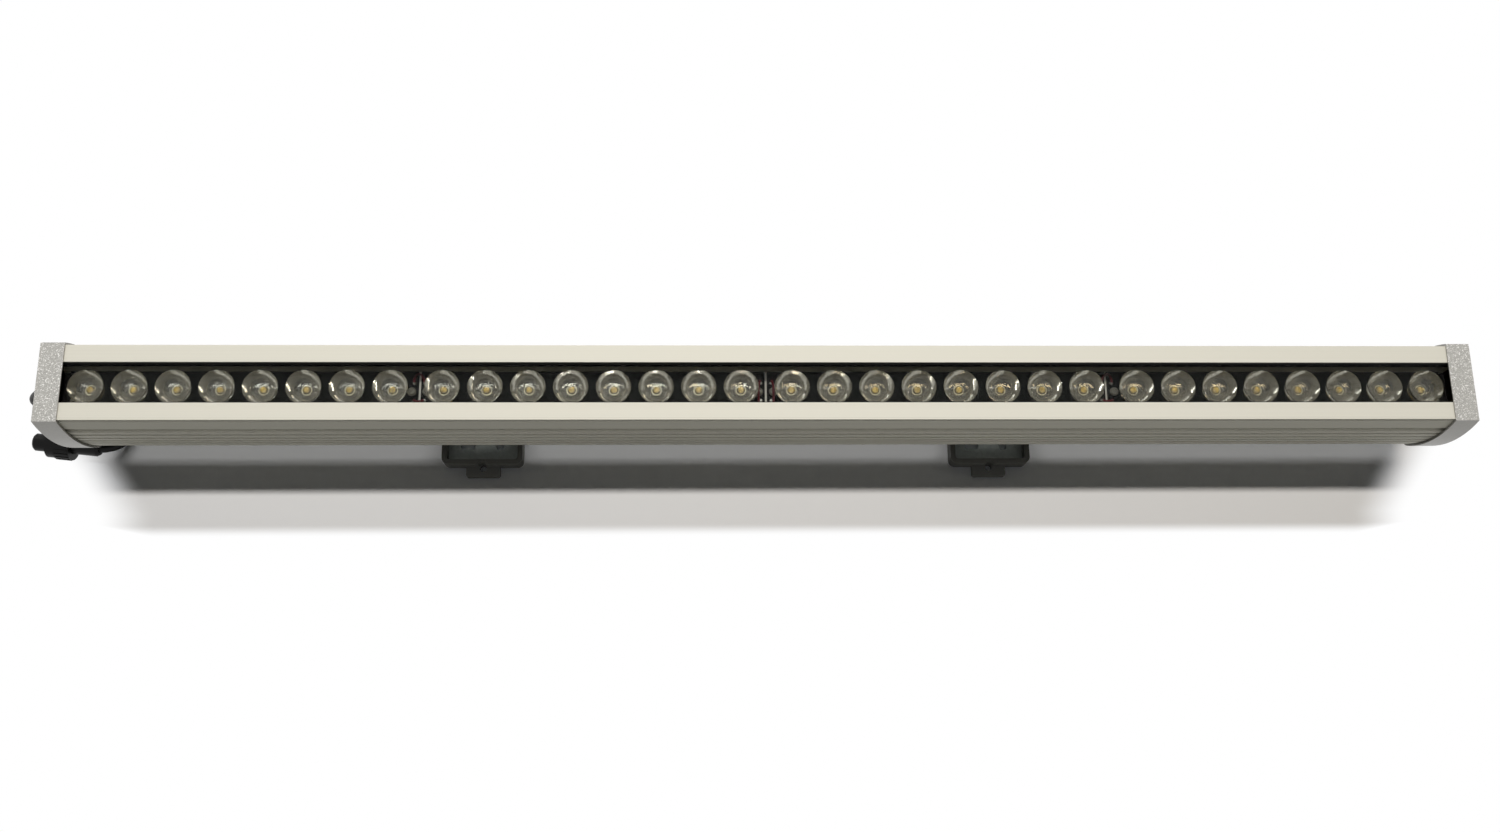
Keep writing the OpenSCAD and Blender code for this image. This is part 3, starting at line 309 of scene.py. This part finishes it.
# Solder resist: near black, smooth and little mirroring, cloudy in patches of about 2 mm.
resist, tree = blank("black_solder_resist")
place = add(tree, "ShaderNodeTexCoord").outputs["Object"]
cloud = add(tree, "ShaderNodeTexNoise", {"Vector": place, "Scale": 600.0, "Detail": 3.0})
shade = add(tree, "ShaderNodeMix", {0: cloud.outputs["Fac"], 6: linear("#070A0A"),
                                    7: linear("#141716")}, data_type="RGBA")
skin = add(tree, "ShaderNodeBsdfPrincipled", {
    "Base Color": shade.outputs[2], "Roughness": 0.35, "Specular IOR Level": 0.1})
add(tree, "ShaderNodeOutputMaterial", {"Surface": skin.outputs["BSDF"]})
for number in "1234":
    dress("led_board_" + number, resist)

# Solder: bright where it flowed, dulled by flux in spots of 0.8 mm.
solder, tree = blank("bright_solder")
place = add(tree, "ShaderNodeTexCoord").outputs["Object"]
flux = add(tree, "ShaderNodeTexNoise", {"Vector": place, "Scale": 1200.0})
shade = add(tree, "ShaderNodeMix", {0: flux.outputs["Fac"], 6: linear("#B8B8B2"),
                                    7: linear("#F0F0EC")}, data_type="RGBA")
skin = add(tree, "ShaderNodeBsdfPrincipled", {
    "Base Color": shade.outputs[2], "Metallic": 0.7, "Roughness": 0.25})
add(tree, "ShaderNodeOutputMaterial", {"Surface": skin.outputs["BSDF"]})
dress("solder_pads", solder)

# Nickel plate: a plain grey with a dull gloss, clouded in patches of about 1 mm.
nickel, tree = blank("dull_nickel_plate")
place = add(tree, "ShaderNodeTexCoord").outputs["Object"]
cloud = add(tree, "ShaderNodeTexNoise", {"Vector": place, "Scale": 900.0, "Detail": 3.0})
shade = add(tree, "ShaderNodeMix", {0: cloud.outputs["Fac"], 6: linear("#8A8A84"),
                                    7: linear("#A6A69F")}, data_type="RGBA")
skin = add(tree, "ShaderNodeBsdfPrincipled", {
    "Base Color": shade.outputs[2], "Metallic": 0.6, "Roughness": 0.45})
add(tree, "ShaderNodeOutputMaterial", {"Surface": skin.outputs["BSDF"]})
dress("board_screws", nickel)

# Extruded vinyl sleeve: dark red and satin, rubbed in patches of about 2 mm.
sleeve, tree = blank("red_wire_sleeve")
place = add(tree, "ShaderNodeTexCoord").outputs["Object"]
rub = add(tree, "ShaderNodeTexNoise", {"Vector": place, "Scale": 500.0})
shade = add(tree, "ShaderNodeMix", {0: rub.outputs["Fac"], 6: linear("#3F0D14"),
                                    7: linear("#651722")}, data_type="RGBA")
skin = add(tree, "ShaderNodeBsdfPrincipled", {"Base Color": shade.outputs[2], "Roughness": 0.35})
add(tree, "ShaderNodeOutputMaterial", {"Surface": skin.outputs["BSDF"]})
for node in ("jumper_wires", "feed_wires", "input_cores"):
    dress(node, sleeve)

# LEDs. Each is a moulded package with a pale rim round its reflector, two tinned leads, and a
# silicone dome over yellow phosphor. They stand in rows of eight, soldered to the boards, so
# the rim and the dome are coloured by their distance from the nearest LED's axis.
led_end = 0.0169
led_pitch = (board_len - 2 * led_end) / 7


def from_led_axis(tree, place):
    """Distance of a point on the boards from the axis of its LED."""
    at = add(tree, "ShaderNodeSeparateXYZ", {"Vector": place})
    along = add(tree, "ShaderNodeMath", {0: at.outputs["X"], 1: board_pitch, 2: 0.0},
                operation="WRAP")
    along = add(tree, "ShaderNodeMath", {0: along.outputs[0], 1: board_gap / 2 + led_end},
                operation="SUBTRACT")
    along = add(tree, "ShaderNodeMath", {0: along.outputs[0], 1: led_pitch / 2, 2: -led_pitch / 2},
                operation="WRAP")
    flat = add(tree, "ShaderNodeCombineXYZ", {"X": along.outputs[0], "Y": at.outputs["Y"]})
    return add(tree, "ShaderNodeVectorMath", {0: flat.outputs[0]},
               operation="LENGTH").outputs["Value"]


# Moulded package: a brown reflector inside, a cream rim 2.8 to 3.1 mm out, speckled at 1 mm,
# and dark feet.
package, tree = blank("moulded_led_package")
place = add(tree, "ShaderNodeTexCoord").outputs["Object"]
off = from_led_axis(tree, place)
speck = add(tree, "ShaderNodeTexNoise", {"Vector": place, "Scale": 900.0})
rim = add(tree, "ShaderNodeMapRange", {"Value": off, "From Min": 0.0025, "From Max": 0.0028})
feet = add(tree, "ShaderNodeMapRange", {"Value": off, "From Min": 0.0031, "From Max": 0.0034})
cream = add(tree, "ShaderNodeMix", {0: speck.outputs["Fac"], 6: linear("#C2BD9F"),
                                    7: linear("#DAD5B8")}, data_type="RGBA")
shade = add(tree, "ShaderNodeMix", {0: rim.outputs["Result"], 6: linear("#4A4028"),
                                    7: cream.outputs[2]}, data_type="RGBA")
shade = add(tree, "ShaderNodeMix", {0: feet.outputs["Result"], 6: shade.outputs[2],
                                    7: linear("#2E2D28")}, data_type="RGBA")
skin = add(tree, "ShaderNodeBsdfPrincipled", {"Base Color": shade.outputs[2], "Roughness": 0.4})
add(tree, "ShaderNodeOutputMaterial", {"Surface": skin.outputs["BSDF"]})
dress("led_emitters", package)

# Silicone over phosphor: a smooth soft gloss, yellow over the chip, with grains drawn 0.7 mm
# wide so that they show, and brown beyond 2 mm.
phosphor, tree = blank("silicone_over_phosphor")
place = add(tree, "ShaderNodeTexCoord").outputs["Object"]
off = from_led_axis(tree, place)
speck = add(tree, "ShaderNodeTexNoise", {"Vector": place, "Scale": 1500.0})
beyond = add(tree, "ShaderNodeMapRange", {"Value": off, "From Min": 0.0017, "From Max": 0.0022})
yellow = add(tree, "ShaderNodeMix", {0: speck.outputs["Fac"], 6: linear("#C4A74F"),
                                     7: linear("#DDC472")}, data_type="RGBA")
shade = add(tree, "ShaderNodeMix", {0: beyond.outputs["Result"], 6: yellow.outputs[2],
                                    7: linear("#5E5232")}, data_type="RGBA")
skin = add(tree, "ShaderNodeBsdfPrincipled", {
    "Base Color": shade.outputs[2], "Roughness": 0.2, "Specular IOR Level": 0.3})
add(tree, "ShaderNodeOutputMaterial", {"Surface": skin.outputs["BSDF"]})
dress("led_domes", phosphor)

# Beam lenses. Thirty-two clear acrylic collimators, injection moulded, that stand over the
# LEDs on the boards: a slightly domed front, a cone that turns the light forward, and a hollow
# round the LED.
lens_foot_z = 0.08465
lens_r, lens_h, band_h = 0.0123, 0.0154, 0.0009
foot_r, hollow_r = 0.0066, 0.0051
hollow_top_r, hollow_top_z = 0.0048, lens_h * 0.35
front_curve_r = 0.045
edge_z = lens_h - (front_curve_r - math.sqrt(front_curve_r ** 2 - lens_r ** 2))
cone = [(foot_r + (lens_r - foot_r) * (k / 14) ** 0.57, (edge_z - band_h) * k / 14)
        for k in range(15)]
front = [(r, lens_h - (front_curve_r - math.sqrt(front_curve_r ** 2 - r ** 2)))
         for r in [lens_r * (1 - k / 12) for k in range(13)]]
# Each run of the section is shaded smooth, and the runs meet at a sharp edge.
lens_runs = [[(hollow_r, 0.0), (foot_r, 0.0)], cone, [cone[-1], (lens_r, edge_z)], front,
             [(0.0, hollow_top_z), (hollow_top_r, hollow_top_z)],
             [(hollow_top_r, hollow_top_z), (hollow_r, 0.0)]]


def turned(mesh, centre, runs, sides):
    """Adds a turned solid, whose section runs round in order, to a mesh."""
    for run in runs:
        rings = []
        for r, z in run:
            if r == 0:
                rings.append([mesh.verts.new(centre + Vector((0, 0, z)))] * sides)
            else:
                rings.append([mesh.verts.new(centre + Vector((r * math.cos(a), r * math.sin(a), z)))
                              for a in [2 * math.pi * k / sides for k in range(sides)]])
        for low, high in zip(rings, rings[1:]):
            for k in range(sides):
                corners = [low[k], low[(k + 1) % sides], high[(k + 1) % sides], high[k]]
                mesh.faces.new(sorted(set(corners), key=corners.index)).smooth = True


# Moulded acrylic: clear and polished like glass. Outside the hollow the mould leaves a faint
# haze, in clouds of about 5 mm, so each lens reads as grey. Its shadow is pale, as clear
# plastic's is.
acrylic, tree = blank("moulded_clear_acrylic")
clear = add(tree, "ShaderNodeBsdfPrincipled", {
    "Base Color": linear("#DDDCD6"), "Roughness": 0.04, "IOR": 1.49, "Transmission Weight": 1.0})
haze = add(tree, "ShaderNodeBsdfDiffuse", {"Color": linear("#B4B1A4")})
place = add(tree, "ShaderNodeTexCoord").outputs["Object"]
cloud = add(tree, "ShaderNodeTexNoise", {"Vector": place, "Scale": 220.0, "Detail": 3.0})
amount = add(tree, "ShaderNodeMapRange", {
    "Value": cloud.outputs["Fac"], "From Min": 0.3, "From Max": 0.7,
    "To Min": 0.12, "To Max": 0.22})
beyond = add(tree, "ShaderNodeMapRange", {
    "Value": from_led_axis(tree, place), "From Min": 0.0048, "From Max": 0.0064},
    interpolation_type="SMOOTHSTEP")
amount = add(tree, "ShaderNodeMath", {0: amount.outputs["Result"], 1: beyond.outputs["Result"]},
             operation="MULTIPLY")
lens_body = add(tree, "ShaderNodeMixShader", {"Fac": amount.outputs[0], 1: clear.outputs["BSDF"],
                                              2: haze.outputs["BSDF"]})
let_by = add(tree, "ShaderNodeBsdfTransparent", {"Color": linear("#B4B3AE")})
path = add(tree, "ShaderNodeLightPath")
mix = add(tree, "ShaderNodeMixShader", {
    "Fac": path.outputs["Is Shadow Ray"], 1: lens_body.outputs["Shader"],
    2: let_by.outputs["BSDF"]})
add(tree, "ShaderNodeOutputMaterial", {"Surface": mix.outputs["Shader"]})
for number in range(4):
    board_x = (number - 1.5) * board_pitch
    mesh = bmesh.new()
    for k in range(8):
        led_x = board_x - board_len / 2 + led_end + k * led_pitch
        turned(mesh, Vector((led_x, 0, lens_foot_z)), lens_runs, 48)
    lenses = in_scene("collimators_" + str(number + 1), mesh, acrylic)
    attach(lenses, "lamp")
    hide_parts("beam_lenses_" + str(number + 1))

# Liners and seals. The walls of the board channel carry stuck-on matt plastic strips; the
# glass, the caps and the gland are sealed with black rubber.

# Matt plastic strip: grey in full light, dark down in the channel, speckled at about 3 mm.
liner, tree = blank("dark_matt_strip")
place = add(tree, "ShaderNodeTexCoord").outputs["Object"]
speck = add(tree, "ShaderNodeTexNoise", {"Vector": place, "Scale": 300.0, "Detail": 3.0})
shade = add(tree, "ShaderNodeMix", {0: speck.outputs["Fac"], 6: linear("#918F83"),
                                    7: linear("#AAA89B")}, data_type="RGBA")
skin = add(tree, "ShaderNodeBsdfPrincipled", {
    "Base Color": shade.outputs[2], "Roughness": 0.6, "Specular IOR Level": 0.15})
add(tree, "ShaderNodeOutputMaterial", {"Surface": skin.outputs["BSDF"]})
dress("channel_liners", liner)

# Extruded rubber: black and dull, with a bloom in spots of 2 mm.
seal, tree = blank("extruded_seal_rubber")
place = add(tree, "ShaderNodeTexCoord").outputs["Object"]
bloom = add(tree, "ShaderNodeTexNoise", {"Vector": place, "Scale": 500.0})
shade = add(tree, "ShaderNodeMix", {0: bloom.outputs["Fac"], 6: linear("#080807"),
                                    7: linear("#131311")}, data_type="RGBA")
skin = add(tree, "ShaderNodeBsdfPrincipled", {
    "Base Color": shade.outputs[2], "Roughness": 0.55, "Specular IOR Level": 0.15})
add(tree, "ShaderNodeOutputMaterial", {"Surface": skin.outputs["BSDF"]})
for node in ("glazing_seals", "left_end_gasket", "right_end_gasket", "gland_seal"):
    dress(node, seal)

# Driver. A plain can inside the body, folded from bare aluminium sheet and held by zinc-plated
# screws. The sheet is bright, with handling marks of about 8 mm.
can, tree = blank("folded_aluminium_sheet")
place = add(tree, "ShaderNodeTexCoord").outputs["Object"]
marks = add(tree, "ShaderNodeTexNoise", {"Vector": place, "Scale": 120.0, "Detail": 4.0})
shade = add(tree, "ShaderNodeMix", {0: marks.outputs["Fac"], 6: linear("#B9B9B5"),
                                    7: linear("#D3D3CF")}, data_type="RGBA")
skin = add(tree, "ShaderNodeBsdfPrincipled", {
    "Base Color": shade.outputs[2], "Metallic": 0.9, "Roughness": 0.35})
add(tree, "ShaderNodeOutputMaterial", {"Surface": skin.outputs["BSDF"]})
dress("driver_case", can)
dress("driver_screws", zinc)

# Glass cover. A clear strip of toughened glass, cut and ground to size, that lies in the
# body's slot between the rubber seals. Seen from above it mirrors little.
glass, tree = blank("toughened_clear_glass")
clear = add(tree, "ShaderNodeBsdfTransparent", {"Color": linear("#F4F4F2")})
gloss = add(tree, "ShaderNodeBsdfGlossy", {"Color": linear("#FFFFFF"), "Roughness": 0.02})
mirrored = add(tree, "ShaderNodeFresnel", {"IOR": 1.15})
mix = add(tree, "ShaderNodeMixShader", {"Fac": mirrored.outputs["Fac"], 1: clear.outputs["BSDF"],
                                        2: gloss.outputs["BSDF"]})
add(tree, "ShaderNodeOutputMaterial", {"Surface": mix.outputs["Shader"]})
dress("glass_cover", glass)

# End caps. Pressure-die-cast aluminium, each held by four countersunk screws, under a granular
# silver paint; the sides are painted darker than the front, as painted shade.

# Granular paint: a rough silver with grains of 0.6 mm. Pale specks of flake, as small, are
# painted glints on the faces that point up.
paint, tree = blank("granular_silver_paint")
coords = add(tree, "ShaderNodeTexCoord")
place = coords.outputs["Object"]
lump = add(tree, "ShaderNodeTexNoise", {"Vector": place, "Scale": 1600.0, "Detail": 3.0,
                                        "Roughness": 0.7})
flake = add(tree, "ShaderNodeTexVoronoi", {"Vector": place, "Scale": 1800.0})
# Painted glints: the palest Voronoi cells turn near white on the faces that point up.
painted_glint = add(tree, "ShaderNodeSeparateColor", {"Color": flake.outputs["Color"]})
painted_glint = add(tree, "ShaderNodeMapRange", {"Value": painted_glint.outputs[0], "From Min": 0.76,
                                         "From Max": 1.0})
ramp = add(tree, "ShaderNodeMapRange", {"Value": lump.outputs["Fac"], "From Min": 0.35,
                                        "From Max": 0.65})
ground = add(tree, "ShaderNodeMix", {0: ramp.outputs["Result"], 6: linear("#8D8C88"),
                                     7: linear("#BDBCB8")}, data_type="RGBA")
front_coat_with_painted_glints = add(tree, "ShaderNodeMix", {0: painted_glint.outputs["Result"], 6: ground.outputs[2],
                                         7: linear("#EFEEEC")}, data_type="RGBA")
# Painted shade: on the sides the ground colour is mixed 72 % toward a darker grey.
painted_shaded_sides = add(tree, "ShaderNodeMix", {0: 0.72, 6: ground.outputs[2], 7: linear("#8F8D88")},
                data_type="RGBA")
up = add(tree, "ShaderNodeSeparateXYZ", {"Vector": coords.outputs["Normal"]})
painted_light_facing = add(tree, "ShaderNodeMapRange", {"Value": up.outputs["Z"], "From Min": 0.6,
                                              "From Max": 0.9})
shade = add(tree, "ShaderNodeMix", {0: painted_light_facing.outputs["Result"], 6: painted_shaded_sides.outputs[2],
                                    7: front_coat_with_painted_glints.outputs[2]}, data_type="RGBA")
relief = add(tree, "ShaderNodeBump", {"Height": lump.outputs["Fac"], "Strength": 0.35,
                                      "Distance": 0.0002})
skin = add(tree, "ShaderNodeBsdfPrincipled", {
    "Base Color": shade.outputs[2], "Metallic": 0.6, "Roughness": 0.42,
    "Normal": relief.outputs["Normal"]})
add(tree, "ShaderNodeOutputMaterial", {"Surface": skin.outputs["BSDF"]})
dress("left_end_cap", paint)
dress("right_end_cap", paint)
dress("end_cap_screws", zinc)

# Floor. White paper that the light lies on. It keeps the light's shadow, and further than a
# few centimetres from the light it is plain white.
back_y, front_y = 0.005, -0.052
plain_from, plain_at = 0.0265, 0.036
ends_from, ends_at = 0.485, 0.53
paper, tree = blank("white_paper")
place = add(tree, "ShaderNodeTexCoord").outputs["Object"]
across = add(tree, "ShaderNodeSeparateXYZ", {"Vector": place})
off_x = add(tree, "ShaderNodeMath", {0: across.outputs["X"]}, operation="ABSOLUTE")
# The further in front of the light, the nearer to its middle the ends turn white.
nearer = add(tree, "ShaderNodeMapRange", {"Value": across.outputs["Y"], "From Min": -0.017,
                                          "From Max": -0.07, "To Max": 0.0347})
off_x = add(tree, "ShaderNodeMath", {0: off_x.outputs[0], 1: nearer.outputs["Result"]},
            operation="ADD")
ends = add(tree, "ShaderNodeMapRange", {"Value": off_x.outputs[0], "From Min": ends_from,
                                        "From Max": ends_at}, interpolation_type="SMOOTHSTEP")
behind = add(tree, "ShaderNodeMath", {0: across.outputs["Y"], 1: back_y}, operation="SUBTRACT")
before = add(tree, "ShaderNodeMath", {0: front_y, 1: across.outputs["Y"]}, operation="SUBTRACT")
off_y = add(tree, "ShaderNodeMath", {0: behind.outputs[0], 1: before.outputs[0]},
            operation="MAXIMUM")
sides = add(tree, "ShaderNodeMapRange", {"Value": off_y.outputs[0], "From Min": plain_from,
                                         "From Max": plain_at}, interpolation_type="SMOOTHSTEP")
plain = add(tree, "ShaderNodeMath", {0: ends.outputs["Result"], 1: sides.outputs["Result"]},
            operation="ADD", use_clamp=True)


def seen_rays(tree):
    """1 for rays from the camera, and for those that glass and metal mirror or let through."""
    path = add(tree, "ShaderNodeLightPath")
    seen = add(tree, "ShaderNodeMath", {0: path.outputs["Is Camera Ray"],
                                        1: path.outputs["Is Glossy Ray"]}, operation="MAXIMUM")
    return add(tree, "ShaderNodeMath", {0: seen.outputs[0],
                                        1: path.outputs["Is Transmission Ray"]},
               operation="MAXIMUM").outputs[0]


plain = add(tree, "ShaderNodeMath", {0: plain.outputs[0], 1: seen_rays(tree)},
            operation="MULTIPLY")
sheet = add(tree, "ShaderNodeBsdfDiffuse", {"Color": linear("#F0F2F7")})
white = add(tree, "ShaderNodeEmission", {"Color": linear("#FFFFFF"), "Strength": 1.0})
mix = add(tree, "ShaderNodeMixShader", {"Fac": plain.outputs[0], 1: sheet.outputs["BSDF"],
                                        2: white.outputs["Emission"]})
add(tree, "ShaderNodeOutputMaterial", {"Surface": mix.outputs["Shader"]})
mesh = bmesh.new()
bmesh.ops.create_grid(mesh, x_segments=1, y_segments=1, size=4)
in_scene("floor", mesh, paper)

# Room. Plain white where it is seen or mirrored, and dim as a source of light, so that the
# lamps make the shadows.
world = bpy.data.worlds.new("room")
scene.world = world
world.use_nodes = True
tree = world.node_tree
tree.nodes.clear()
dim = add(tree, "ShaderNodeBackground", {"Color": linear("#FFFFFF"), "Strength": 0.03})
bright = add(tree, "ShaderNodeBackground", {"Color": linear("#FFFFFF"), "Strength": 1.0})
sky = add(tree, "ShaderNodeMixShader", {"Fac": seen_rays(tree), 1: dim.outputs[0],
                                        2: bright.outputs[0]})
add(tree, "ShaderNodeOutputWorld", {"Surface": sky.outputs[0]})


# Lamps. Three lamps high above and a little behind throw the narrow shadow in front of the
# light, two long ones, the right one warmer, and a short one over the middle. A back lamp
# gives the highlights, and a low one lights the floor under the body.
def soft_lamp(name, place, aim, size, power, colour, mirrored):
    """A rectangular lamp that shines from a place at a point, and may show in mirrors."""
    lamp = bpy.data.lights.new(name, "AREA")
    lamp.shape = "RECTANGLE"
    lamp.size, lamp.size_y = size
    lamp.energy = power
    lamp.color = linear(colour)[:3]
    made = bpy.data.objects.new(name, lamp)
    made.visible_glossy = mirrored
    made.location = place
    made.rotation_euler = (Vector(aim) - Vector(place)).to_track_quat("-Z", "Y").to_euler()
    scene.collection.objects.link(made)


soft_lamp("high_lamp_left", (-0.8, 0.64, 2.85), (-0.8, 0, 0.05), (1.6, 0.13), 27, "#FBFDFF", False)
soft_lamp("high_lamp_right", (0.8, 0.64, 2.85), (0.8, 0, 0.05), (1.6, 0.13), 16, "#FFE6BE", False)
soft_lamp("middle_lamp", (-0.08, 0.35, 1.6), (-0.08, 0, 0.05), (0.5, 0.07), 6.6, "#FFFDF6", False)
soft_lamp("back_lamp", (-0.1, 2.0, 2.1), (-0.1, 0, 0.05), (3.0, 0.25), 24, "#FFFCF6", True)
soft_lamp("low_lamp", (0, 2.2, 1.3), (0, 0, 0.02), (2.6, 0.16), 30, "#FFFDF8", True)
